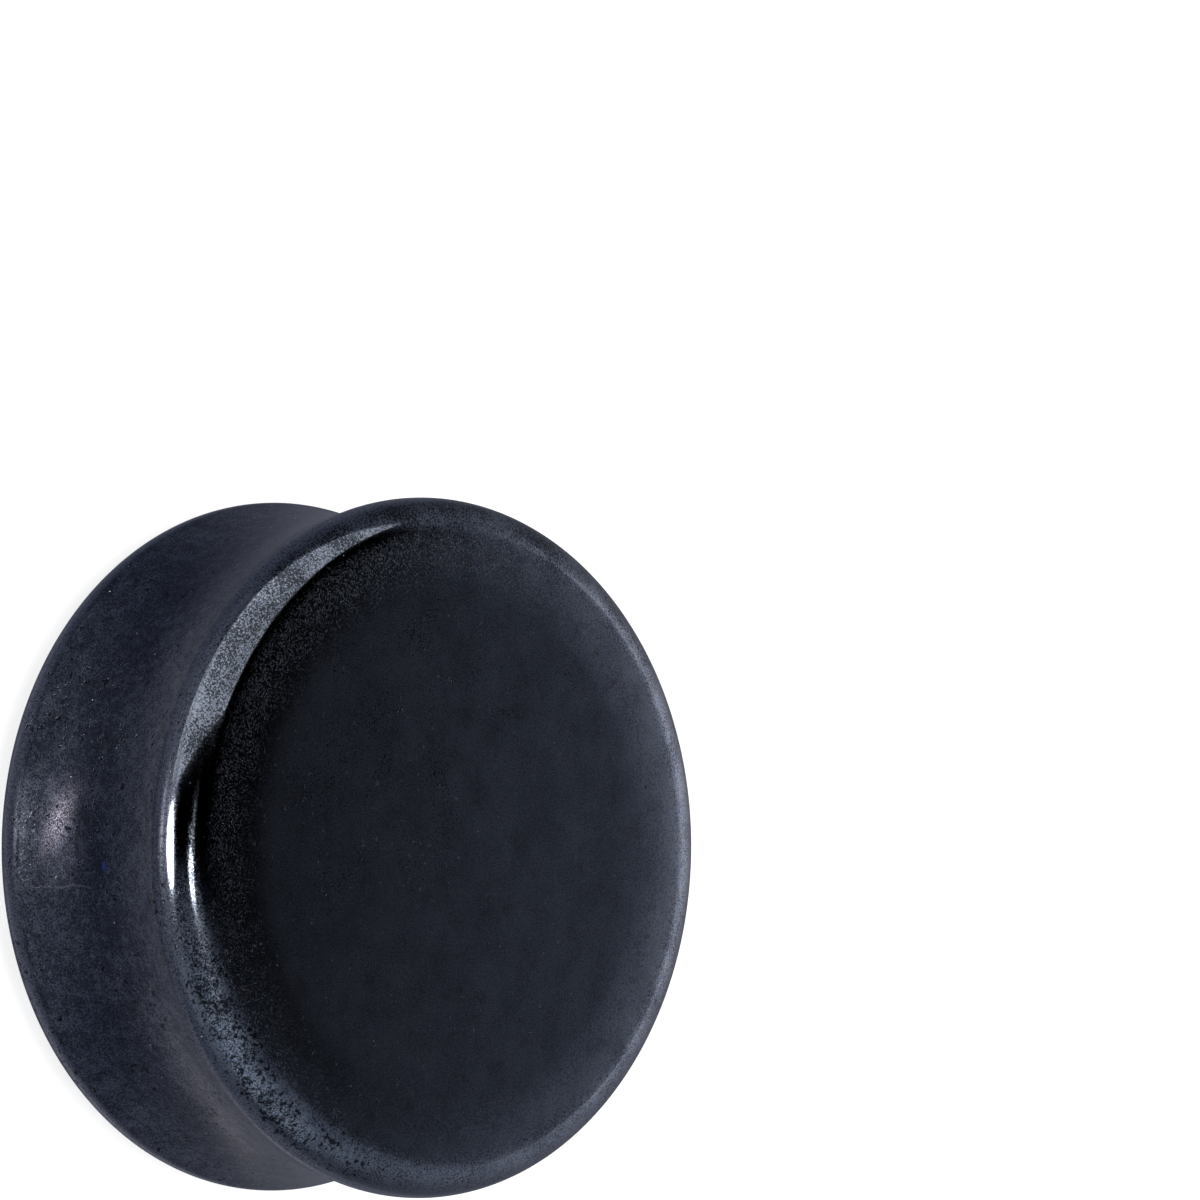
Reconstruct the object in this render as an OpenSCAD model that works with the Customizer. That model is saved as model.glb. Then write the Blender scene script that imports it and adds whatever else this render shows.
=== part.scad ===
// Double flared saddle plug: one piece of polished stone, turned about a single axis.
// It lies on its back face, with the axis along +Z and the front face up.

/* [Ear groove] */
// Gauge of the plug: diameter at the bottom of the groove that the earlobe sits in
gauge_d = 25.4; // [16:0.1:51]
// Height of each flare's crest above the bottom of the groove
flare_h = 0.65; // [0.3:0.05:1.5]
// Distance along the axis between the crests of the two flares
crest_span = 8.6; // [6:0.1:14]

/* [Rims] */
// Radius of the polished rounding that each flare turns through, from groove to face
rim_r = 1.55; // [0.8:0.05:2]
// Angle of the faint edges where that rounding meets the face and the groove, in degrees
edge_break = 2; // [1:0.5:4]

/* [Faces] */
// Slope of a face where it meets the rounding, in degrees
face_edge_slope = 4; // [2:0.5:8]
// Width of the band in which a flat face rolls down to that slope
roll_off_w = 2.4; // [0.5:0.1:4]

/* [Hidden] */
stone_colour = "#232934";

// Segments in a full circle
segments = 180;

// Slope at which the roll-off leaves the flat middle of a face
roll_off_slope = 0.5;

// The section is drawn about the middle of the plug: radius along X, height along Y
crest_r = gauge_d / 2 + flare_h;
rim_centre = [crest_r - rim_r, crest_span / 2];

// The groove is one arc. It bites a little into each rounding, which leaves the faint edge
bite = rim_r * (1 - cos(edge_break));
groove_r = (pow(rim_centre[1], 2) + pow(flare_h, 2) - pow(bite, 2)) / (2 * (flare_h - bite)) - rim_r;
groove_centre = [gauge_d / 2 + groove_r, 0];
crossing_slope = asin(rim_centre[1] / (rim_r + groove_r - bite));
web_half_h = rim_centre[1] - (rim_r - bite / 2) * sin(crossing_slope);

// The roll-off is one shallow arc that crosses the rounding at the face's edge
face_edge_angle = face_edge_slope + edge_break;
face_edge = rim_centre + rim_r * [sin(face_edge_angle), cos(face_edge_angle)];
roll_off_r = roll_off_w / (sin(face_edge_slope) - sin(roll_off_slope));
roll_off_centre = face_edge - roll_off_r * [sin(face_edge_slope), cos(face_edge_slope)];
half_t = roll_off_centre[1] + roll_off_r * cos(roll_off_slope);

// The block under the face ends where the rounding stands highest above the roll-off
between_centres = rim_centre - roll_off_centre;
block_r = rim_centre[0] + rim_r * between_centres[0] / norm(between_centres);

// How far the web reaches past the crests before the groove trims it
trim_margin = 1;

// A rectangle centred on the middle of the plug, from the axis out to a radius
module centred_block(radius, half_height) {
    translate([0, -half_height])
        square([radius, 2 * half_height]);
}

// The block between the faces, the web behind the groove, and the two rounded rims
module stock_section() {
    centred_block(block_r, half_t);
    centred_block(crest_r + trim_margin, web_half_h);
    for (side = [-1, 1])
        translate([rim_centre[0], side * rim_centre[1]])
            circle(r = rim_r, $fn = segments);
}

// The disc whose arc is the roll-off of one face
module roll_off_disc(side) {
    translate([roll_off_centre[0], side * roll_off_centre[1]])
        circle(r = roll_off_r, $fn = 2 * segments);
}

// The disc whose arc is the bottom of the groove
module groove_disc() {
    translate(groove_centre)
        circle(r = groove_r, $fn = 2 * segments);
}

// The flat middle of the section, out to where the roll-off discs stand above the faces
module flat_section() {
    centred_block(roll_off_centre[0], half_t);
}

module rim_and_groove_section() {
    difference() {
        intersection() {
            stock_section();
            roll_off_disc(-1);
            roll_off_disc(1);
        }
        groove_disc();
    }
}

module saddle_plug() {
    color(stone_colour)
        translate([0, 0, half_t])
            rotate_extrude($fn = segments) {
                flat_section();
                rim_and_groove_section();
            }
}

saddle_plug();
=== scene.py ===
import math

import bpy
from mathutils import Matrix, Vector


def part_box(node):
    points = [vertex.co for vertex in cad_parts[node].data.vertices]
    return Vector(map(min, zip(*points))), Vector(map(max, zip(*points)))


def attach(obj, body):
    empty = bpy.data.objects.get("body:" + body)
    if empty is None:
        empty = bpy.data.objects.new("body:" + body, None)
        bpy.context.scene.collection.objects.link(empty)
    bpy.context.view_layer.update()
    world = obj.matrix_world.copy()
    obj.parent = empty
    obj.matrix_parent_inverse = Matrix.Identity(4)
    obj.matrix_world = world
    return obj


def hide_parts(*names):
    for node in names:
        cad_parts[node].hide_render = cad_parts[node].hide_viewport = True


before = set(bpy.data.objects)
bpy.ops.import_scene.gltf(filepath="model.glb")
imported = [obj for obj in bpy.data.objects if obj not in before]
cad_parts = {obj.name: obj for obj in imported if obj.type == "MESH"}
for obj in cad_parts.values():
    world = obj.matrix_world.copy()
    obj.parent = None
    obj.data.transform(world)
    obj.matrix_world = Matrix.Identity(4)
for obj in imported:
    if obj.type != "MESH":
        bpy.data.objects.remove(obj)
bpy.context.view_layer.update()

lowCorner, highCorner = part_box("saddle_plug")
print("frame loaded, plug box in mm:", [round(1000 * side, 2) for side in highCorner - lowCorner])

mm = 0.001
crestRadius = (highCorner.y - lowCorner.y) / 2
halfThickness = (highCorner.z - lowCorner.z) / 2
middle = Vector((0, 0, (lowCorner.z + highCorner.z) / 2))


def hexColour(text):
    # sRGB hex to the linear colour that nodes work in
    channels = [int(text[i:i + 2], 16) / 255 for i in (1, 3, 5)]
    linear = [c / 12.92 if c <= 0.04045 else ((c + 0.055) / 1.055) ** 2.4 for c in channels]
    return (*linear, 1.0)


def addNode(tree, kind, inputs=(), **settings):
    # A node with its settings. Its inputs are given in order, or by name or number in a dictionary. A node
    # or a socket is linked, and any other input is a plain value. A kind with no prefix is a shader node
    node = tree.nodes.new(kind if "Node" in kind else "ShaderNode" + kind)
    for name, value in settings.items():
        setattr(node, name, value)
    for key, value in inputs.items() if isinstance(inputs, dict) else enumerate(inputs):
        if isinstance(value, bpy.types.Node):
            value = next(socket for socket in value.outputs if socket.enabled)
        if isinstance(value, bpy.types.NodeSocket):
            tree.links.new(value, node.inputs[key])
        else:
            node.inputs[key].default_value = value
    return node


def newMaterial(name):
    material = bpy.data.materials.new(name)
    material.use_nodes = True
    material.node_tree.nodes.clear()
    return material, material.node_tree


# Camera: the photo looks down at 41 degrees to the plug's axis, rolled so that the axis points right
photoView = {
    "frameWidth": 1200,             # px
    "plugCentre": (351.4, 846.9),   # px, right and down, where the middle of the plug is seen
    "crestRadius": 346.7,           # px at the plug's distance
    "distance": 25.6,               # in crest radii, which sets how strong the perspective is
    "axisTilt": 41.18,              # degrees between the plug's axis and the line of sight
    "axisDroop": 0.48,              # degrees by which the axis points below image right
    "sensorWidth": 36,              # mm
    "clip": (0.01, 20),             # m
}


def addCamera(view):
    focal = view["crestRadius"] * view["distance"]
    right, down = [pixel - view["frameWidth"] / 2 for pixel in view["plugCentre"]]
    tilt = math.radians(view["axisTilt"])
    droop = math.radians(view["axisDroop"])
    # The line of sight and the plug's axis in the camera's own axes
    sight = Vector((right, -down, -focal)).normalized()
    across = sight.cross(Vector((0, 1, 0))).normalized()
    upward = across.cross(sight)
    sideways = math.cos(droop) * across - math.sin(droop) * upward
    axis = math.sin(tilt) * sideways - math.cos(tilt) * sight
    cameraBasis = Matrix((axis, sight, axis.cross(sight))).transposed()
    # The same two directions in the plug's frame
    worldAxis = Vector((0, 0, 1))
    worldSight = Vector((0, math.sin(tilt), -math.cos(tilt)))
    worldBasis = Matrix((worldAxis, worldSight, worldAxis.cross(worldSight))).transposed()
    turn = worldBasis @ cameraBasis.inverted()
    data = bpy.data.cameras.new("photoCamera")
    data.sensor_width = view["sensorWidth"]
    data.lens = data.sensor_width * focal / view["frameWidth"]
    data.clip_start, data.clip_end = view["clip"]
    camera = bpy.data.objects.new("photoCamera", data)
    place = middle - view["distance"] * crestRadius * worldSight
    camera.matrix_world = Matrix.Translation(place) @ turn.to_4x4()
    bpy.context.scene.collection.objects.link(camera)
    bpy.context.scene.camera = camera
    return turn


cameraTurn = addCamera(photoView)
print("camera set")


# Plug: one profile of arcs, turned about the axis
plugSizes = {
    "flareHeight": 0.65 * mm,
    "crestSpan": 8.6 * mm,
    "rimRadius": 1.55 * mm,
    "edgeBreak": 2,                 # degrees
    "faceEdgeSlope": 4,             # degrees
    "rollOffSlope": 0.5,            # degrees
    "rollOffWidth": 2.4 * mm,
    "turns": 400,                   # segments in a full circle
    "groovePoints": 48,             # points along half the groove, each rim, each roll-off and each face
    "rimPoints": 44,
    "rollOffPoints": 12,
    "facePoints": 16,
    "waveHeight": 0.005 * mm,       # hand polish leaves the surface very slightly uneven
    "waveLength": 3.0 * mm,
    "joinDistance": 0.001 * mm,     # ends of arcs nearer than this are one point
}


def profileArcs(sizes):
    # Centre, radius, start, sweep and points of each arc of the front half, from the groove to the face
    rim, flare, half = sizes["rimRadius"], sizes["flareHeight"], sizes["crestSpan"] / 2
    slope = math.radians(sizes["faceEdgeSlope"])
    flatSlope = math.radians(sizes["rollOffSlope"])
    edge = math.radians(sizes["edgeBreak"])
    rimCentre = Vector((crestRadius - rim, half))
    bite = rim * (1 - math.cos(edge))
    groove = (half ** 2 + flare ** 2 - bite ** 2) / (2 * (flare - bite)) - rim
    grooveCentre = Vector((crestRadius - flare + groove, 0))
    between = rim + groove - bite
    crossing = math.asin(half / between)
    atRim = math.acos((between ** 2 + rim ** 2 - groove ** 2) / (2 * between * rim))
    atGroove = math.asin(rim * math.sin(atRim) / groove)
    faceEdge = rimCentre + rim * Vector((math.sin(slope + edge), math.cos(slope + edge)))
    rollOff = sizes["rollOffWidth"] / (math.sin(slope) - math.sin(flatSlope))
    rollOffCentre = faceEdge - rollOff * Vector((math.sin(slope), math.cos(slope)))
    faceHeight = rollOffCentre.y + rollOff * math.cos(flatSlope)
    flatRadius = rollOffCentre.x + rollOff * math.sin(flatSlope)
    quarter = math.pi / 2
    rimSweep = quarter - slope - edge + crossing - atRim
    grooveSweep = crossing + atGroove
    return {
        "Groove": (grooveCentre, groove, math.pi - grooveSweep, grooveSweep, sizes["groovePoints"]),
        "Rim": (rimCentre, rim, atRim - crossing, rimSweep, sizes["rimPoints"]),
        "Roll Off": (rollOffCentre, rollOff, quarter - slope, slope - flatSlope, sizes["rollOffPoints"]),
    }, flatRadius, faceHeight


def addInputs(tree, arcs):
    floats = ["Flat Radius", "Face Height", "Sweep Radius", "Wave Height", "Wave Length", "Middle Height"]
    floats.append("Join Distance")
    counts = ["Turns", "Face Points"]
    for name in arcs:
        floats += [f"{name} {part}" for part in ("Centre X", "Centre Y", "Radius", "Start", "Sweep")]
        counts.append(f"{name} Points")
    tree.interface.new_socket(name="Geometry", in_out="OUTPUT", socket_type="NodeSocketGeometry")
    for name in floats:
        tree.interface.new_socket(name=name, in_out="INPUT", socket_type="NodeSocketFloat")
    for name in counts:
        tree.interface.new_socket(name=name, in_out="INPUT", socket_type="NodeSocketInt")
    return addNode(tree, "NodeGroupInput").outputs


def halfProfile(tree, given, arcs):
    # The arcs from the groove's bottom to the face, and the flat face as a line to the axis
    pieces = addNode(tree, "GeometryNodeJoinGeometry")
    for name in arcs:
        arc = addNode(tree, "GeometryNodeCurveArc", {
            "Resolution": given[f"{name} Points"], "Radius": given[f"{name} Radius"],
            "Start Angle": given[f"{name} Start"], "Sweep Angle": given[f"{name} Sweep"]}, mode="RADIUS")
        centre = addNode(tree, "CombineXYZ", (given[f"{name} Centre X"], given[f"{name} Centre Y"]))
        placed = addNode(tree, "GeometryNodeTransform", {"Geometry": arc, "Translation": centre})
        tree.links.new(placed.outputs[0], pieces.inputs[0])
    axisEnd = addNode(tree, "CombineXYZ", {"Y": given["Face Height"]})
    flatEnd = addNode(tree, "CombineXYZ", (given["Flat Radius"], given["Face Height"]))
    line = addNode(tree, "GeometryNodeCurvePrimitiveLine", {"Start": axisEnd, "End": flatEnd})
    face = addNode(tree, "GeometryNodeResampleCurve", {"Curve": line, "Count": given["Face Points"]})
    tree.links.new(face.outputs[0], pieces.inputs[0])
    return addNode(tree, "GeometryNodeCurveToMesh", {"Curve": pieces})


def handPolish(tree, given, turned):
    # The surface sinks by up to the wave height, never outwards
    place = addNode(tree, "GeometryNodeInputPosition")
    scale = addNode(tree, "Math", (1.0, given["Wave Length"]), operation="DIVIDE")
    waves = addNode(tree, "TexNoise", {"Vector": place, "Scale": scale, "Detail": 1.0, "Roughness": 0.4})
    depth = addNode(tree, "Math", (waves, given["Wave Height"]), operation="MULTIPLY")
    sink = addNode(tree, "Math", (depth, -1.0), operation="MULTIPLY")
    normal = addNode(tree, "GeometryNodeInputNormal")
    offset = addNode(tree, "VectorMath", {0: normal, "Scale": sink}, operation="SCALE")
    return addNode(tree, "GeometryNodeSetPosition", {"Geometry": turned, "Offset": offset})


def latheTree(arcs, material):
    # Half a profile is mirrored, joined and swept round a circle
    tree = bpy.data.node_groups.new("turnedPlug", "GeometryNodeTree")
    given = addInputs(tree, arcs)
    near = given["Join Distance"]
    half = halfProfile(tree, given, arcs)
    mirrored = addNode(tree, "GeometryNodeTransform", {"Geometry": half, "Scale": (1, -1, 1)})
    whole = addNode(tree, "GeometryNodeJoinGeometry", (half,))
    tree.links.new(mirrored.outputs[0], whole.inputs[0])
    joined = addNode(tree, "GeometryNodeMergeByDistance", {"Geometry": whole, "Distance": near})
    inward = addNode(tree, "Math", (given["Sweep Radius"], -1.0), operation="MULTIPLY")
    shift = addNode(tree, "CombineXYZ", (inward,))
    shifted = addNode(tree, "GeometryNodeTransform", {"Geometry": joined, "Translation": shift})
    profile = addNode(tree, "GeometryNodeMeshToCurve", {"Mesh": shifted})
    ring = addNode(tree, "GeometryNodeCurvePrimitiveCircle", {
        "Resolution": given["Turns"], "Radius": given["Sweep Radius"]}, mode="RADIUS")
    lathed = addNode(tree, "GeometryNodeCurveToMesh", {"Curve": ring, "Profile Curve": profile})
    closed = addNode(tree, "GeometryNodeMergeByDistance", {"Geometry": lathed, "Distance": near})
    polished = handPolish(tree, given, closed)
    rise = addNode(tree, "CombineXYZ", {"Z": given["Middle Height"]})
    raised = addNode(tree, "GeometryNodeTransform", {"Geometry": polished, "Translation": rise})
    smoothed = addNode(tree, "GeometryNodeSetShadeSmooth", {"Geometry": raised})
    real = addNode(tree, "GeometryNodeRealizeInstances", {"Geometry": smoothed})
    finished = addNode(tree, "GeometryNodeSetMaterial", {"Geometry": real, "Material": material})
    addNode(tree, "NodeGroupOutput", (finished,))
    return tree


def turnPlug(sizes, material):
    arcs, flatRadius, faceHeight = profileArcs(sizes)
    tree = latheTree(arcs, material)
    values = {
        "Flat Radius": flatRadius, "Face Height": faceHeight, "Sweep Radius": crestRadius / 2,
        "Wave Height": sizes["waveHeight"], "Wave Length": sizes["waveLength"],
        "Middle Height": middle.z, "Join Distance": sizes["joinDistance"],
        "Turns": sizes["turns"], "Face Points": sizes["facePoints"],
    }
    for name, (centre, radius, start, sweep, points) in arcs.items():
        values.update({
            f"{name} Centre X": centre.x, f"{name} Centre Y": centre.y, f"{name} Radius": radius,
            f"{name} Start": start, f"{name} Sweep": sweep, f"{name} Points": points})
    blank = bpy.data.objects.new("plugBlank", bpy.data.meshes.new("plugBlank"))
    bpy.context.scene.collection.objects.link(blank)
    modifier = blank.modifiers.new("turnedPlug", "NODES")
    modifier.node_group = tree
    for item in tree.interface.items_tree:
        if item.in_out == "INPUT":
            modifier[item.identifier] = values[item.name]
    depsgraph = bpy.context.evaluated_depsgraph_get()
    mesh = bpy.data.meshes.new_from_object(blank.evaluated_get(depsgraph))
    bpy.data.objects.remove(blank)
    mesh.name = "plugStone"
    plug = bpy.data.objects.new("plugStone", mesh)
    bpy.context.scene.collection.objects.link(plug)
    return plug


# Hematite, turned and tumble-polished: an iron ore that mirrors its surroundings at about a quarter
# strength in blue-grey, with the rims bright, the faces and the groove satin, and fine open pits. Its
# colour
# also carries painted light: a painted highlight on the crests, painted glints in specks and in a patch in
# the groove, and painted shade in the pits
stoneLook = {
    # Colour of the polished grain's reflection, and of what covers it
    "lustre": "#7f8792",
    "blueGrain": "#727c98",
    "rustStain": "#665c60",
    "darkGrain": "#474c57",
    "paleGrain": "#a0a7b4",
    # painted highlight, near white, along the crests of the flares
    "crestHighlightColour": "#c4cad6",
    "paleVein": "#c2c6cf",
    # near black: painted shade in the pits and the pepper, over the dents that the bump presses in
    "pit": "#1b1d22",
    # near white: the crystals of the painted highlight in the groove
    "lilacCrystalHighlight": "#f0ecf4",
    "blueCrystal": "#7f90ff",
    "dust": "#d4d8e0",
    # painted glints: pale dots for crystal facets, as if they caught the light
    "warmPaintedGlint": "#f0e6dc",         # crystal facets that catch light
    "bluePaintedGlint": "#8c9cd0",
    # How far each one covers what is below it
    "grainShare": (0.42, 0.28, 0.28),   # on the faces, and what the sides and then the groove add
    "stainShare": 0.35,
    "sideShare": 0.25,              # of pale grain all over the groove and the rims
    # how fully the crests' painted highlight covers the grain
    "crestHighlightShare": 0.85,
    "veinShare": 0.6,
    "pepperShare": 0.86,
    "groovePepperShare": 0.62,
    "pitShare": 0.9,
    "dustShare": 0.12,
    # Roughness of each finish, and what the four dull things add to it
    "rimRoughness": 0.07,
    "faceRoughness": 0.12,
    "grooveRoughness": 0.11,
    "mottleRoughness": 0.04,
    "dustRoughness": 0.20,
    "pitRoughness": 0.15,
    "speckRoughness": 0.6,
    # Relief, in mm
    "pitDepth": 0.004,
    "pepperDepth": 0.0004,
    "polishRipple": 0.0012,
    # Where each finish starts and where it is full, in mm. A radius is from the axis, and a height is up or
    # down from the middle of the plug
    "grooveHeight": (4.84, 4.60),
    "faceRadius": (12.25, 11.25),
    "faceDepth": (0.9, 0.5),        # below the face
    "sideRadius": (12.6, 13.1),
    "crestDepth": (0.16, 0.03),     # below the crest
    "crestHeight": (3.98, 4.25),
    "grooveWander": 0.075,          # how far the edge of the groove wanders either way, then the face's
    "faceWander": 0.25,
    "sideWander": 0.8,
    # Shade of the grain: darkest in a band that runs round the middle of the groove
    "mottleShade": 0.3,
    "clumpShade": 0.65,
    "bandShade": -0.065,
    "bandHeight": -0.5,             # mm from the middle of the plug
    "bandEdge": (1.9, 0.4),         # mm from the middle of the band
    "bandWander": 1.2,              # mm
    # Where a pattern starts to show on its noise, which runs from 0 to 1, and where it is full
    "darkStep": (0.50, 0.42),
    "paleStep": (0.50, 0.58),
    "blueStep": (0.46, 0.62),
    "stainStep": (0.50, 0.66),
    "crystalStep": (0.44, 0.60),
    "crowdedStep": (0.45, 0.60),
    "dullStep": (0.40, 0.65),
    # Pepper and pits lie where their noise is above a level: first what crowded patches add to it and the
    # level itself, then what other places add, so a place that adds less than nothing has more of them
    "pepperLevel": (-0.45, 0.74),
    "pepperedSide": -2.3,           # radians round the plug to the side with the most pepper
    "sidePepperLevel": -0.065,
    "facePepperLevel": 0.10,
    "innerPepperLevel": (12.7, 12.2, 0.0, 0.06),    # mm from the axis, where it starts and is full
    "outerPepperLevel": (5.15, 4.95, 0.0, 0.09),    # mm from the middle, likewise
    "groovePepperLevel": 0.515,     # instead of all these
    "pepperEdge": (-0.02, 0.05),    # above the level, where the pepper starts and is full
    "pitLevel": (-0.15, 0.76),
    "stretchPitLevel": -0.14,
    "pittedStretch": (-0.85, 0.55, 0.2),    # radians round the rim: middle, half-width and soft edge
    "groovePitLevel": -0.09,        # in the crowded patches
    "pitEdge": (0.0, 0.03),
    # Specks and dust are dots in random cells: mm between cells, and the size of a dot as a share of that
    "speckSpacing": 0.42,
    "speckSize": 0.07,
    "speckStep": (0.35, 1.0),       # random share of a cell from which it has a dot, and a full one
    "bluePaintedGlintStep": (0.55, 0.75),
    "speckFade": (1.0, 0.2),        # from the face outwards
    "dustSpacing": 0.052,           # a little coarser than the real dull grains, so that they show
    "dustSize": (0.18, 0.66),       # of the smallest and the largest
    "dustRadius": (9.0, 12.8),      # mm from the axis to where the dust starts and where it is full
    "dustWander": 1.6,              # mm
    "dustEnd": (12.4, 12.0),        # mm from the axis
    "dustSides": (0.45, 0.55),      # how much the dust varies round the face, and its average
    "dustEdge": (-0.08, 0.08),      # across the edge of a dot
    "dustFade": (0.0, 0.15),
    # Spots in the groove: radians round it, mm up from the middle, half sizes in mm round and along the
    # axis, and how far the spot leans
    # the spot of the groove's painted highlight, where a lamp's glow is seen
    "paintedGlowPatch": (-1.65, -2.05, 1.1, 0.5, 0.5),
    "blueCrystalSpot": (-1.508, 0.40, 0.13, 0.10, 0.0),
    "veinAngle": -1.449,            # radians round the groove to its one pale vein
    "veinStart": (-3.9, -3.3),      # mm from the middle of the plug
    "veinEnd": (0.1, -0.9),
    "veinEdge": (0.07, 0.02),       # mm from its centre line
    "veinWander": 0.2,              # mm
    # Noises: mm across what each one draws, detail and roughness. The grain, crystals, pepper and pits are
    # a little coarser than the real ones, so that they show
    "noises": {
        "grain": (0.06, 2.0, 0.6),
        "crystals": (0.06, 2.0, 0.7),
        "pepper": (0.08, 2.0, 0.8),
        "blueGrain": (0.18, 3.0, 0.7),
        "pits": (0.24, 3.0, 0.7),
        "clumps": (0.45, 3.0, 0.65),    # of dark and pale grains in the groove
        "ripple": (0.7, 2.0, 0.5),      # of the polish
        "veinPath": (0.9, 3.0, 0.5),
        "stains": (0.98, 4.0, 0.7),
        "dustPath": (1.2, 2.0, 0.5),
        "mottle": (1.4, 3.0, 0.6),
        "edges": (1.5, 2.0, 0.5),       # of the groove and the face
        "crowding": (1.8, 3.0, 0.6),    # of pits and pepper in patches
    },
}
smooth = {"interpolation_type": "SMOOTHSTEP"}


def readSurface(tree, look):
    # What is known at each point: its place in mm from the middle of the plug, the noises there, and how
    # much the point belongs to the face and to the groove
    objectPlace = addNode(tree, "TexCoord").outputs["Object"]
    toMiddle = {"Vector": objectPlace, "Location": (0, 0, -middle.z / mm), "Scale": (1 / mm,) * 3}
    place = addNode(tree, "Mapping", toMiddle)
    at = {"place": place}
    for name, (width, detail, roughness) in look["noises"].items():
        pattern = {"Vector": place, "Scale": 1 / width, "Detail": detail, "Roughness": roughness}
        at[name] = addNode(tree, "TexNoise", pattern)
    x, y, z = addNode(tree, "SeparateXYZ", (place,)).outputs
    flat = addNode(tree, "CombineXYZ", (x, y))
    at["z"] = z
    at["radius"] = addNode(tree, "VectorMath", (flat,), operation="LENGTH")
    at["angle"] = addNode(tree, "Math", (y, x), operation="ARCTAN2")
    at["height"] = addNode(tree, "Math", (z,), operation="ABSOLUTE")
    drift = addNode(tree, "Math", (at["edges"], 2.0, -1.0), operation="MULTIPLY_ADD")
    height = addNode(tree, "Math", (drift, look["grooveWander"], at["height"]), operation="MULTIPLY_ADD")
    at["groove"] = addNode(tree, "MapRange", (height, *look["grooveHeight"]), **smooth)
    radius = addNode(tree, "Math", (drift, look["faceWander"], at["radius"]), operation="MULTIPLY_ADD")
    inside = addNode(tree, "MapRange", (radius, *look["faceRadius"]), **smooth)
    depth = addNode(tree, "Math", (halfThickness / mm, at["height"]), operation="SUBTRACT")
    shallow = addNode(tree, "MapRange", (depth, *look["faceDepth"]), **smooth)
    at["face"] = addNode(tree, "Math", (inside, shallow), operation="MULTIPLY")
    aside = addNode(tree, "Math", (at["angle"], look["pepperedSide"]), operation="SUBTRACT")
    at["pepperedSide"] = addNode(tree, "Math", (aside,), operation="COSINE")
    return at


def finePepper(tree, at, look):
    # A dense scatter of pits as fine as the grain
    level = addNode(tree, "Math", (at["crowding"], *look["pepperLevel"]), operation="MULTIPLY_ADD")
    for zone, name in (("pepperedSide", "sidePepperLevel"), ("face", "facePepperLevel")):
        level = addNode(tree, "Math", (at[zone], look[name], level), operation="MULTIPLY_ADD")
    for distance, name in (("radius", "innerPepperLevel"), ("height", "outerPepperLevel")):
        added = addNode(tree, "MapRange", (at[distance], *look[name]), **smooth)
        level = addNode(tree, "Math", (added, level), operation="ADD")
    change = addNode(tree, "Math", (look["groovePepperLevel"], level), operation="SUBTRACT")
    level = addNode(tree, "Math", (at["groove"], change, level), operation="MULTIPLY_ADD")
    above = addNode(tree, "Math", (at["pepper"], level), operation="SUBTRACT")
    pepper = addNode(tree, "MapRange", (above, *look["pepperEdge"]), **smooth)
    onRim, inGroove = look["pepperShare"], look["groovePepperShare"]
    share = addNode(tree, "Math", (at["groove"], inGroove - onRim, onRim), operation="MULTIPLY_ADD")
    return addNode(tree, "Math", (pepper, share), operation="MULTIPLY")


def openPits(tree, at, look):
    # Larger open pits, most of them along one stretch of the rim
    satin = addNode(tree, "Math", (at["groove"], at["face"]), operation="MAXIMUM")
    onRim = addNode(tree, "Math", (1.0, satin), operation="SUBTRACT")
    middleAngle, halfWidth, softEdge = look["pittedStretch"]
    aside = addNode(tree, "Math", (at["angle"], middleAngle), operation="SUBTRACT")
    aside = addNode(tree, "Math", (aside,), operation="ABSOLUTE")
    stretch = addNode(tree, "MapRange", (aside, halfWidth + softEdge, halfWidth - softEdge), **smooth)
    stretch = addNode(tree, "Math", (stretch, onRim), operation="MULTIPLY")
    crowded = addNode(tree, "MapRange", (at["crowding"], *look["crowdedStep"]), **smooth)
    crowded = addNode(tree, "Math", (crowded, at["groove"]), operation="MULTIPLY")
    level = addNode(tree, "Math", (at["crowding"], *look["pitLevel"]), operation="MULTIPLY_ADD")
    level = addNode(tree, "Math", (stretch, look["stretchPitLevel"], level), operation="MULTIPLY_ADD")
    level = addNode(tree, "Math", (crowded, look["groovePitLevel"], level), operation="MULTIPLY_ADD")
    above = addNode(tree, "Math", (at["pits"], level), operation="SUBTRACT")
    return addNode(tree, "MapRange", (above, *look["pitEdge"]), **smooth)


def paintedGlintSpecks(tree, at, look):
    # Painted glints: scattered crystal facets drawn as pale dots in some of the cells, each cell with its
    # own random colour
    cells = addNode(tree, "TexVoronoi", {"Vector": at["place"], "Scale": 1 / look["speckSpacing"]})
    share, tint, _ = addNode(tree, "SeparateColor", (cells.outputs["Color"],)).outputs
    size = addNode(tree, "MapRange", (share, *look["speckStep"], 0.0, look["speckSize"]), **smooth)
    offFace = addNode(tree, "MapRange", (at["face"], *look["speckFade"]), **smooth)
    size = addNode(tree, "Math", (size, offFace), operation="MULTIPLY")
    dots = addNode(tree, "Math", (cells.outputs["Distance"], size), operation="LESS_THAN")
    blue = addNode(tree, "MapRange", (tint, *look["bluePaintedGlintStep"]), **smooth)
    # Inputs 6 and 7 of a mix are the colour below and the one that is laid over it
    tints = {0: blue, 6: hexColour(look["warmPaintedGlint"]), 7: hexColour(look["bluePaintedGlint"])}
    return dots, addNode(tree, "Mix", tints, data_type="RGBA")


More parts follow.
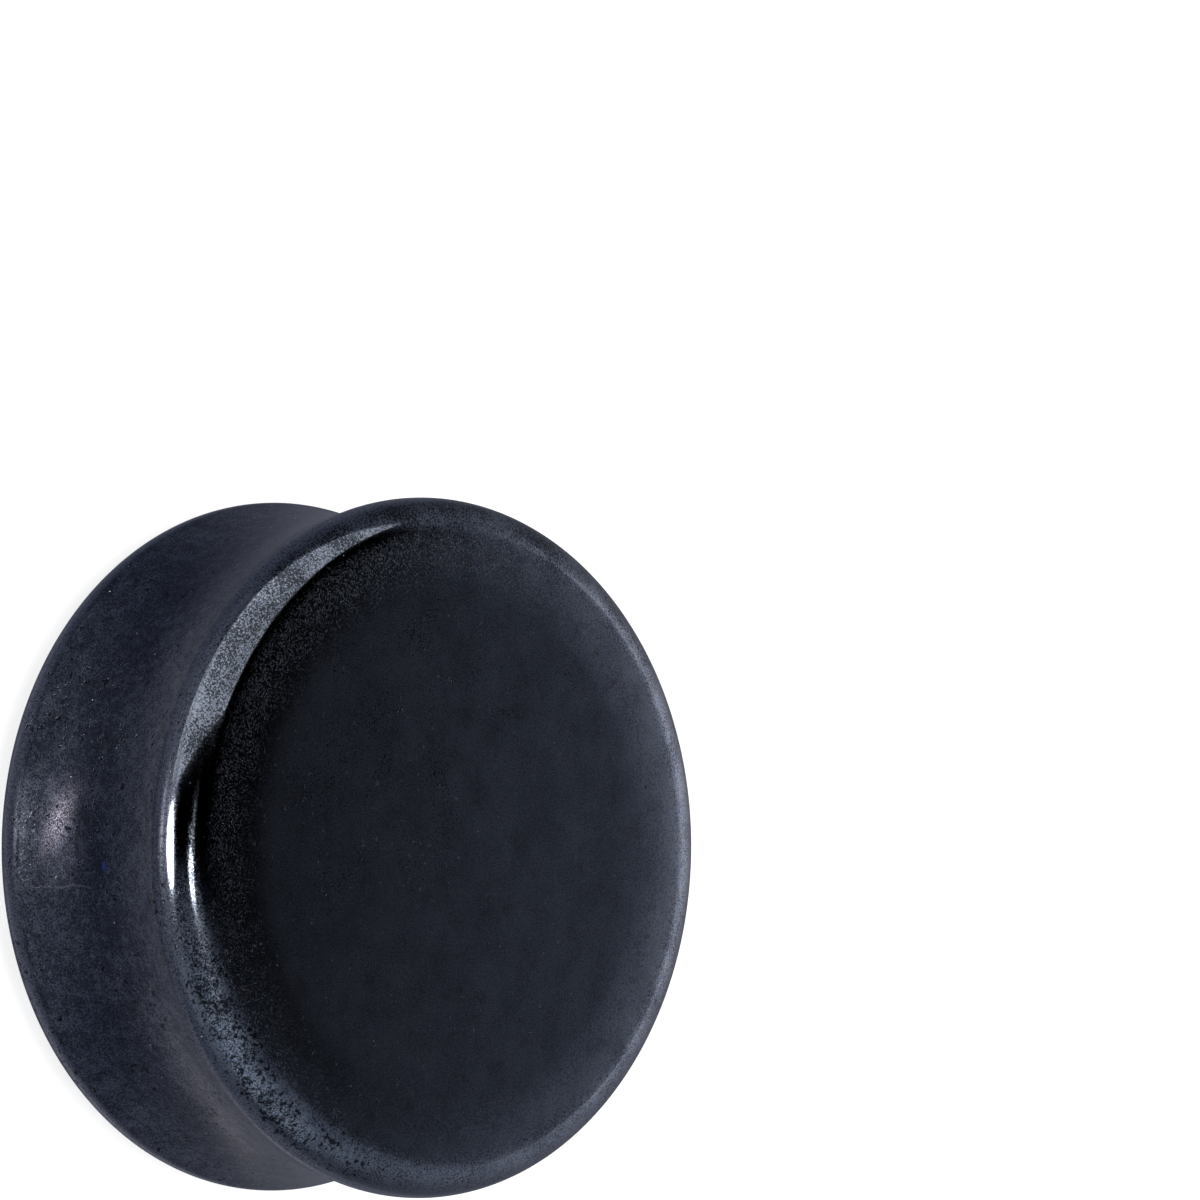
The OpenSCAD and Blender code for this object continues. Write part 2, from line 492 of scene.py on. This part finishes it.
def edgeDust(tree, at, look):
    # The satin of the face breaks up into fine dull grains towards its edge, most on the peppered side
    cells = addNode(tree, "TexVoronoi", {"Vector": at["place"], "Scale": 1 / look["dustSpacing"]})
    share = addNode(tree, "SeparateColor", (cells.outputs["Color"],)).outputs[0]
    radius = (at["dustPath"], look["dustWander"], at["radius"])
    radius = addNode(tree, "Math", radius, operation="MULTIPLY_ADD")
    start = addNode(tree, "MapRange", (radius, *look["dustRadius"]), **smooth)
    end = addNode(tree, "MapRange", (at["radius"], *look["dustEnd"]), **smooth)
    around = addNode(tree, "Math", (at["pepperedSide"], *look["dustSides"]), operation="MULTIPLY_ADD")
    amount = addNode(tree, "Math", (start, end), operation="MULTIPLY")
    amount = addNode(tree, "Math", (amount, around), operation="MULTIPLY")
    size = addNode(tree, "MapRange", (share, 0.0, 1.0, *look["dustSize"]), **smooth)
    size = addNode(tree, "Math", (amount, size), operation="MULTIPLY")
    inside = addNode(tree, "Math", (size, cells.outputs["Distance"]), operation="SUBTRACT")
    dots = addNode(tree, "MapRange", (inside, *look["dustEdge"]), **smooth)
    faded = addNode(tree, "MapRange", (amount, *look["dustFade"]), **smooth)
    return addNode(tree, "Math", (dots, faded), operation="MULTIPLY")


def grainShade(tree, at, look):
    # Fine grain, mottled all over, clumped in the groove and darkest in the band
    drift = addNode(tree, "Math", (at["mottle"], 2.0, -1.0), operation="MULTIPLY_ADD")
    height = addNode(tree, "Math", (at["z"], look["bandHeight"]), operation="SUBTRACT")
    height = addNode(tree, "Math", (drift, look["bandWander"], height), operation="MULTIPLY_ADD")
    height = addNode(tree, "Math", (height,), operation="ABSOLUTE")
    band = addNode(tree, "MapRange", (height, *look["bandEdge"]), **smooth)
    band = addNode(tree, "Math", (band, at["groove"]), operation="MULTIPLY")
    mottle = addNode(tree, "Math", (at["mottle"], 0.5), operation="SUBTRACT")
    clumps = addNode(tree, "Math", (at["clumps"], 0.5), operation="SUBTRACT")
    clumps = addNode(tree, "Math", (clumps, at["groove"]), operation="MULTIPLY")
    shade = at["grain"]
    for part, name in ((mottle, "mottleShade"), (band, "bandShade"), (clumps, "clumpShade")):
        shade = addNode(tree, "Math", (part, look[name], shade), operation="MULTIPLY_ADD")
    return shade


def bandedOre(tree, at, look):
    # Colour of the polished grain
    onFace, onSides, inGroove = look["grainShare"]
    offFace = addNode(tree, "Math", (1.0, at["face"]), operation="SUBTRACT")
    contrast = addNode(tree, "Math", (offFace, onSides, onFace), operation="MULTIPLY_ADD")
    contrast = addNode(tree, "Math", (at["groove"], inGroove, contrast), operation="MULTIPLY_ADD")
    shade = grainShade(tree, at, look)
    radius = (at["mottle"], look["sideWander"], at["radius"])
    radius = addNode(tree, "Math", radius, operation="MULTIPLY_ADD")
    side = addNode(tree, "MapRange", (radius, *look["sideRadius"]), **smooth)
    side = addNode(tree, "Math", (side, look["sideShare"]), operation="MULTIPLY")
    colour = hexColour(look["lustre"])
    for name, noise, step, share in (
            ("blueGrain", at["blueGrain"], "blueStep", contrast),
            ("rustStain", at["stains"], "stainStep", look["stainShare"]),
            ("darkGrain", shade, "darkStep", contrast),
            ("paleGrain", shade, "paleStep", contrast)):
        cover = addNode(tree, "MapRange", (noise, *look[step]), **smooth)
        cover = addNode(tree, "Math", (cover, share), operation="MULTIPLY")
        if name == "paleGrain":
            cover = addNode(tree, "Math", (cover, side), operation="MAXIMUM")
        layers = {0: cover, 6: colour, 7: hexColour(look[name])}
        colour = addNode(tree, "Mix", layers, data_type="RGBA")
    return colour


def paintedCrestHighlight(tree, at, look):
    # Painted highlight: a near-white colour along the crests of the flares, where a bright reflection line
    # runs
    depth = addNode(tree, "Math", (crestRadius / mm, at["radius"]), operation="SUBTRACT")
    near = addNode(tree, "MapRange", (depth, *look["crestDepth"]), **smooth)
    high = addNode(tree, "MapRange", (at["height"], *look["crestHeight"]), **smooth)
    crest = addNode(tree, "Math", (near, high), operation="MULTIPLY")
    return addNode(tree, "Math", (crest, look["crestHighlightShare"]), operation="MULTIPLY")


def paleVein(tree, at, look):
    # One hair-thin pale vein that runs along part of the groove
    drift = addNode(tree, "Math", (at["veinPath"], 2.0, -1.0), operation="MULTIPLY_ADD")
    aside = addNode(tree, "Math", (at["angle"], look["veinAngle"]), operation="SUBTRACT")
    aside = addNode(tree, "Math", (aside, at["radius"]), operation="MULTIPLY")
    aside = addNode(tree, "Math", (drift, look["veinWander"], aside), operation="MULTIPLY_ADD")
    aside = addNode(tree, "Math", (aside,), operation="ABSOLUTE")
    vein = addNode(tree, "MapRange", (aside, *look["veinEdge"]), **smooth)
    for end in ("veinStart", "veinEnd"):
        faded = addNode(tree, "MapRange", (at["z"], *look[end]), **smooth)
        vein = addNode(tree, "Math", (vein, faded), operation="MULTIPLY")
    return addNode(tree, "Math", (vein, look["veinShare"]), operation="MULTIPLY")


def grooveSpot(tree, at, spot):
    # How near a point is to a spot in the groove, 1 at its middle and 0 from twice its half sizes
    angle, height, halfAcross, halfAlong, lean = spot
    across = addNode(tree, "Math", (at["angle"], angle), operation="SUBTRACT")
    across = addNode(tree, "Math", (across, at["radius"]), operation="MULTIPLY")
    along = addNode(tree, "Math", (at["z"], height), operation="SUBTRACT")
    along = addNode(tree, "Math", (across, lean, along), operation="MULTIPLY_ADD")
    across = addNode(tree, "Math", (across, halfAcross), operation="DIVIDE")
    along = addNode(tree, "Math", (along, halfAlong), operation="DIVIDE")
    both = addNode(tree, "CombineXYZ", (across, along))
    distance = addNode(tree, "VectorMath", (both,), operation="LENGTH")
    return addNode(tree, "MapRange", (distance, 2.0, 0.0), **smooth)


def paintedGlowPatch(tree, at, look):
    # Painted highlight on coarser grain: near-white lilac crystals fill the spot in the groove where a
    # lamp's glow is seen, so that the glow shows brighter and grainy
    crystals = addNode(tree, "MapRange", (at["crystals"], *look["crystalStep"]), **smooth)
    patch = grooveSpot(tree, at, look["paintedGlowPatch"])
    return addNode(tree, "Math", (patch, crystals), operation="MULTIPLY")


def polishRoughness(tree, at, look, dull):
    # Roughness by zone, and what each dull thing adds to it
    rim = look["rimRoughness"]
    mottle = addNode(tree, "MapRange", (at["mottle"], *look["dullStep"]), **smooth)
    mottle = addNode(tree, "Math", (mottle, at["groove"]), operation="MULTIPLY")
    rougher = [(at["face"], look["faceRoughness"] - rim), (at["groove"], look["grooveRoughness"] - rim)]
    rougher += [(mottle, look["mottleRoughness"])]
    rougher += [(part, look[f"{name}Roughness"]) for name, part in dull.items()]
    gloss = rim
    for part, added in rougher:
        gloss = addNode(tree, "Math", (part, added, gloss), operation="MULTIPLY_ADD", use_clamp=True)
    return gloss


def tumbledHematite(look):
    material, tree = newMaterial("tumbledHematite")
    at = readSurface(tree, look)
    pepper = finePepper(tree, at, look)
    pits = openPits(tree, at, look)
    dust = edgeDust(tree, at, look)
    dots, glintColour = paintedGlintSpecks(tree, at, look)
    pitCover = addNode(tree, "Math", (pits, look["pitShare"]), operation="MULTIPLY")
    dustCover = addNode(tree, "Math", (dust, look["dustShare"]), operation="MULTIPLY")
    colour = bandedOre(tree, at, look)
    for above, cover in (
            # the crests' painted highlight
            (hexColour(look["crestHighlightColour"]), paintedCrestHighlight(tree, at, look)),
            (hexColour(look["paleVein"]), paleVein(tree, at, look)),
            # painted shade in the pepper
            (hexColour(look["pit"]), pepper),
            # the groove's painted highlight
            (hexColour(look["lilacCrystalHighlight"]), paintedGlowPatch(tree, at, look)),
            (hexColour(look["blueCrystal"]), grooveSpot(tree, at, look["blueCrystalSpot"])),
            # painted shade in the open pits
            (hexColour(look["pit"]), pitCover),
            (hexColour(look["dust"]), dustCover),
            # the specks' painted glints
            (glintColour, dots)):
        colour = addNode(tree, "Mix", {0: cover, 6: colour, 7: above}, data_type="RGBA")
    # The pits go in, and the polish ripples very slightly
    relief = addNode(tree, "Math", (at["ripple"], look["polishRipple"] * mm), operation="MULTIPLY")
    for part, depth in ((pits, look["pitDepth"]), (pepper, look["pepperDepth"])):
        relief = addNode(tree, "Math", (part, -depth * mm, relief), operation="MULTIPLY_ADD")
    bump = addNode(tree, "Bump", {"Strength": 1.0, "Distance": 1.0, "Height": relief})
    gloss = polishRoughness(tree, at, look, {"dust": dust, "pit": pits, "speck": dots})
    shader = addNode(tree, "BsdfPrincipled", {
        "Base Color": colour, "Metallic": 1.0, "Roughness": gloss, "Normal": bump})
    addNode(tree, "OutputMaterial", {"Surface": shader})
    return material


plug = turnPlug(plugSizes, tumbledHematite(stoneLook))
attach(plug, "root")
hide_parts("saddle_plug")
print("plug turned:", len(plug.data.polygons), "faces")


# Floor: a plain pale sweep that curves up into a wall all round, far outside the view
floorLook = {
    "flatRadius": 1.2,              # m
    "curveRadius": 0.5,             # m
    "wallHeight": 1.0,              # m
    "flatSteps": 4,
    "curveSteps": 16,
    "turns": 96,                    # segments in a full circle
    "colour": "#f4f4f4",
    "roughness": 0.9,
    "glow": 0.85,
    "glowColour": "#ffffff",
}


def backlitWhiteAcrylic(look):
    # White acrylic lit from below, so that the plug's shadow on it is faint
    material, tree = newMaterial("backlitWhiteAcrylic")
    shader = addNode(tree, "BsdfPrincipled", {
        "Base Color": hexColour(look["colour"]), "Roughness": look["roughness"], "Specular IOR Level": 0.0,
        "Emission Color": hexColour(look["glowColour"]), "Emission Strength": look["glow"]})
    addNode(tree, "OutputMaterial", {"Surface": shader})
    return material


def paleFloor(look):
    flat, curve, turns = look["flatRadius"], look["curveRadius"], look["turns"]
    rings = [(flat * i / look["flatSteps"], 0.0) for i in range(1, look["flatSteps"] + 1)]
    for i in range(1, look["curveSteps"] + 1):
        angle = math.pi / 2 * i / look["curveSteps"]
        rings.append((flat + curve * math.sin(angle), curve * (1 - math.cos(angle))))
    rings.append((flat + curve, curve + look["wallHeight"]))
    points = [(0, 0, 0)]
    for radius, height in rings:
        for k in range(turns):
            angle = 2 * math.pi * k / turns
            points.append((radius * math.cos(angle), radius * math.sin(angle), height))
    faces = [(0, 1 + k, 1 + (k + 1) % turns) for k in range(turns)]
    for ring in range(len(rings) - 1):
        first = 1 + ring * turns
        for k in range(turns):
            nextK = (k + 1) % turns
            faces.append((first + k, first + turns + k, first + turns + nextK, first + nextK))
    mesh = bpy.data.meshes.new("floor")
    mesh.from_pydata(points, [], faces)
    mesh.shade_smooth()
    mesh.materials.append(backlitWhiteAcrylic(look))
    floor = bpy.data.objects.new("floor", mesh)
    bpy.context.scene.collection.objects.link(floor)
    floor.visible_glossy = False    # the photo's plug mirrors a dim studio, not a white table
    floor.visible_diffuse = False
    floor.visible_shadow = False


paleFloor(floorLook)
print("floor laid")


# Studio, seen only in the plug's reflections. Its directions are in degrees as the camera sees them: the
# azimuth is to the right of the camera and the elevation is up
ceilingPanel = {
    "colour": "#f2f5ff",
    "steps": 16,
    # m right, up and towards the camera from the plug's middle, and the brightness there
    "corners": [
        (-1.65, 0.40, 0.88, 0.20),
        (0.85, 0.40, 0.88, 0.15),
        (0.43, 0.40, 0.0, 0.10),
        (-0.09, 0.40, 0.05, 0.60),
    ],
}
studioLamps = {
    "distance": 0.45,               # m from the plug's middle
    "turns": 48,                    # segments in a full circle
    "colour": "#ffffff",
    # Azimuth, elevation, half width and half height, then brightness
    "discs": {
        "leftSoftbox": (-49.5, 1, 10, 12, 11),
        "smallLamp": (7.5, -5, 6.5, 6, 13),
        "lampTop": (13, 6, 4, 4.5, 0.08),
    },
}
lightTent = {
    "radius": 3.0,                  # m
    "rings": 90,
    "turns": 180,
    "base": 0.15,                   # brightness of the tent where nothing glows
    "tint": "#e2e8ff",
    # The unlit openings round the camera: left, right, bottom and top, then how soft each edge is
    "openings": [
        ((-36, 50, -9, 52), (3, 14, 8, 5)),
        ((26, 89, -19.2, 52), (12, 7.5, 20, 5)),
    ],
    # Azimuth, elevation, reach to the left, right, down and up, then brightness added and colour
    "glows": {
        "leftHalo": (-50, 0, 9, 9, 16, 12, 0.50, "#fff8f8"),
        "leftHaloTop": (-53, 13, 11, 8, 8, 6, 0.55, "#fff8ff"),
        "rightWall": (98.5, 2, 4.5, 40, 17, 14, 0.85, "#f8f4f8"),
        "rightFill": (112, 28, 30, 40, 40, 25, 0.12, "#ffffff"),
        "lowRight": (112, -28, 30, 40, 25, 15, 0.18, "#f4f4ff"),
        "leftSide": (-70, 0, 14, 12, 45, 45, 0.035, "#ecf0ff"),
        "lowLeftGap": (-90, -45, 40, 30, 30, 25, -0.055, "#ffffff"),
        "farLamp": (-80, 6, 5, 5, 10, 10, 0.6, "#fff4ff"),
        "farLampGap": (-96, -2, 9, 6, 14, 12, -0.05, "#ffffff"),
        "lowFront": (0, -50, 50, 65, 50, 26, 0.56, "#e8f4ff"),
        "lampTail": (14, -16, 10, 16, 16, 10, 0.55, "#ffffff"),
        "highBackGap": (-140, 50, 50, 42, 45, 40, -0.058, "#ffffff"),
        "midBack": (-133, 0, 14, 12, 30, 20, 0.06, "#fff4ff"),
        "lowBack": (-159, -30, 14, 30, 7, 7, 0.12, "#fff0f0"),
        "highBack": (-142, 20, 16, 18, 12, 10, 0.05, "#ffffff"),
    },
}
overheadSoftbox = {"size": 1.2, "height": 1.2, "energy": 7}     # m, m and W. It lights the floor alone


def direction(azimuth, elevation):
    azimuth = math.radians(azimuth)
    elevation = math.radians(elevation)
    level = math.cos(elevation)
    return Vector((math.sin(azimuth) * level, math.sin(elevation), math.cos(azimuth) * level))


def litCloth():
    # Translucent white cloth that shines with the colour and brightness that its mesh stores
    material, tree = newMaterial("litCloth")
    stored = addNode(tree, "Attribute", attribute_name="glow")
    glow = addNode(tree, "Emission", {"Color": stored.outputs["Color"], "Strength": 1.0})
    cloth = addNode(tree, "BsdfTranslucent", {"Color": hexColour("#ffffff")})
    both = addNode(tree, "AddShader", (glow, cloth))
    addNode(tree, "OutputMaterial", {"Surface": both})
    material.cycles.emission_sampling = "NONE"
    return material


def tinted(colour, brightness):
    return brightness * Vector(hexColour(colour)[:3])


def addGlowing(name, material, points, faces, light):
    mesh = bpy.data.meshes.new(name)
    mesh.from_pydata([middle + cameraTurn @ point for point in points], [], faces)
    mesh.materials.append(material)
    stored = mesh.attributes.new("glow", "FLOAT_VECTOR", "POINT")
    for item, amount in zip(stored.data, light):
        item.vector = amount
    piece = bpy.data.objects.new(name, mesh)
    bpy.context.scene.collection.objects.link(piece)
    piece.visible_camera = False
    piece.visible_diffuse = False
    piece.visible_transmission = False
    piece.visible_shadow = False


def addCard(name, material, card):
    # A flat card, divided so that its brightness runs evenly from corner to corner
    steps = card["steps"]
    corners = [Vector(corner) for corner in card["corners"]]
    points = []
    for row in range(steps + 1):
        for column in range(steps + 1):
            bottom = corners[0].lerp(corners[1], column / steps)
            top = corners[3].lerp(corners[2], column / steps)
            points.append(bottom.lerp(top, row / steps))
    faces = [(k, k + 1, k + steps + 2, k + steps + 1)
             for k in range(steps * (steps + 1)) if k % (steps + 1) < steps]
    light = [tinted(card["colour"], point.w) for point in points]
    addGlowing(name, material, [point.xyz for point in points], faces, light)


def addDisc(name, material, lamps):
    azimuth, elevation, halfWidth, halfHeight, brightness = lamps["discs"][name]
    reach, turns = lamps["distance"], lamps["turns"]
    out = direction(azimuth, elevation)
    side = out.cross(Vector((0, 1, 0))).normalized()
    across = reach * math.tan(math.radians(halfWidth)) * side
    above = reach * math.tan(math.radians(halfHeight)) * side.cross(out)
    angles = [2 * math.pi * k / turns for k in range(turns)]
    points = [reach * out + math.cos(angle) * across + math.sin(angle) * above for angle in angles]
    light = [tinted(lamps["colour"], brightness)] * turns
    addGlowing(name, material, points, [range(turns)], light)


def easeIn(value, start, end):
    share = min(1, max(0, (value - start) / (end - start)))
    return share * share * (3 - 2 * share)


def tentLight(tent, azimuth, elevation):
    total = tinted(tent["tint"], tent["base"])
    for glowAzimuth, glowElevation, left, right, down, up, amount, colour in tent["glows"].values():
        aside = (azimuth - glowAzimuth + 180) % 360 - 180
        above = elevation - glowElevation
        fall = (aside / (right if aside > 0 else left)) ** 2 + (above / (up if above > 0 else down)) ** 2
        total += tinted(colour, amount * math.exp(-fall))
    for (left, right, bottom, top), edges in tent["openings"]:
        inside = easeIn(azimuth, left, left + edges[0]) * easeIn(-azimuth, -right, -right + edges[1])
        inside *= easeIn(elevation, bottom, bottom + edges[2]) * easeIn(-elevation, -top, -top + edges[3])
        total *= 1 - inside
    return Vector([max(0, channel) for channel in total])


def addTent(material, tent):
    rings, turns = tent["rings"], tent["turns"]
    places = []
    for ring in range(1, rings):
        places += [(360 * k / turns - 180, 180 * ring / rings - 90) for k in range(turns)]
    places += [(0, -90), (0, 90)]
    bottom, top = len(places) - 2, len(places) - 1
    faces = []
    for ring in range(rings - 2):
        for k in range(turns):
            here = ring * turns + k
            beside = ring * turns + (k + 1) % turns
            faces.append((here, here + turns, beside + turns, beside))
    last = (rings - 2) * turns
    for k in range(turns):
        nextK = (k + 1) % turns
        faces.append((k, nextK, bottom))
        faces.append((last + nextK, last + k, top))
    points = [tent["radius"] * direction(*place) for place in places]
    addGlowing("lightTent", material, points, faces, [tentLight(tent, *place) for place in places])


def addStudio():
    material = litCloth()
    addCard("ceilingPanel", material, ceilingPanel)
    for name in studioLamps["discs"]:
        addDisc(name, material, studioLamps)
    addTent(material, lightTent)


def addFloorLight(look):
    data = bpy.data.lights.new("overheadSoftbox", "AREA")
    data.shape = "DISK"
    data.size = look["size"]
    data.energy = look["energy"]
    light = bpy.data.objects.new("overheadSoftbox", data)
    light.location = (0, 0, look["height"])
    light.visible_glossy = False
    bpy.context.scene.collection.objects.link(light)


def addWorld():
    world = bpy.data.worlds.new("dimStudio")
    bpy.context.scene.world = world
    world.use_nodes = True
    world.node_tree.nodes["Background"].inputs["Color"].default_value = hexColour("#000000")


addStudio()
addFloorLight(overheadSoftbox)
addWorld()
bpy.context.scene.view_settings.view_transform = "Standard"
print("studio set")
